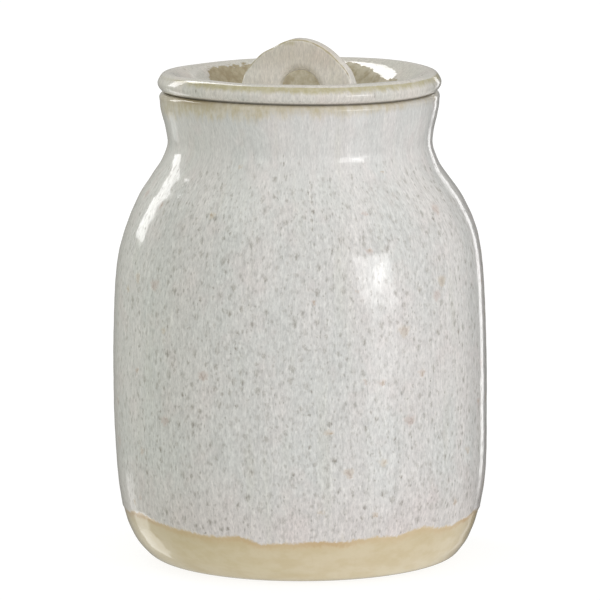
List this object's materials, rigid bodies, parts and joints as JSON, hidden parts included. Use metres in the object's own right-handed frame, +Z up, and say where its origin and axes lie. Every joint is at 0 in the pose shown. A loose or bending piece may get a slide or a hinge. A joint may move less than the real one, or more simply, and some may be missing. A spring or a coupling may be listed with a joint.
{
  "type": "lidded stoneware jar",
  "caption": "Round-shouldered stoneware storage jar with a rolled lip and a sealed lift-off lid that has a sunken finger well and an upright ring handle.",
  "frame": {"origin": "centre of the foot ring, on the surface that the jar stands on", "axes": "+Z up along the jar's axis; -Y is the front, from which the ring handle shows its face; +X to the right seen from the front"},
  "size_m": [0.15, 0.15, 0.2089],
  "materials": {
    "jar_glaze": "glossy speckled off-white glaze over a clear-glazed buff stoneware base band",
    "lid_glaze": "glossy off-white glaze that breaks to tan on edges",
    "handle_glaze": "glossy off-white glaze that breaks to tan on edges",
    "seal": "matte translucent white silicone"
  },
  "bodies": {
    "jar": {"jar_body": "jar_glaze"},
    "lid": {"lid": "lid_glaze", "lid_handle": "handle_glaze", "seal_ring": "seal"}
  },
  "joints": [
    {"name": "lid_lift", "type": "slide", "parent": "jar", "child": "lid", "axis": [0, 0, 1], "range_m": [0, 0.12]}
  ]
}
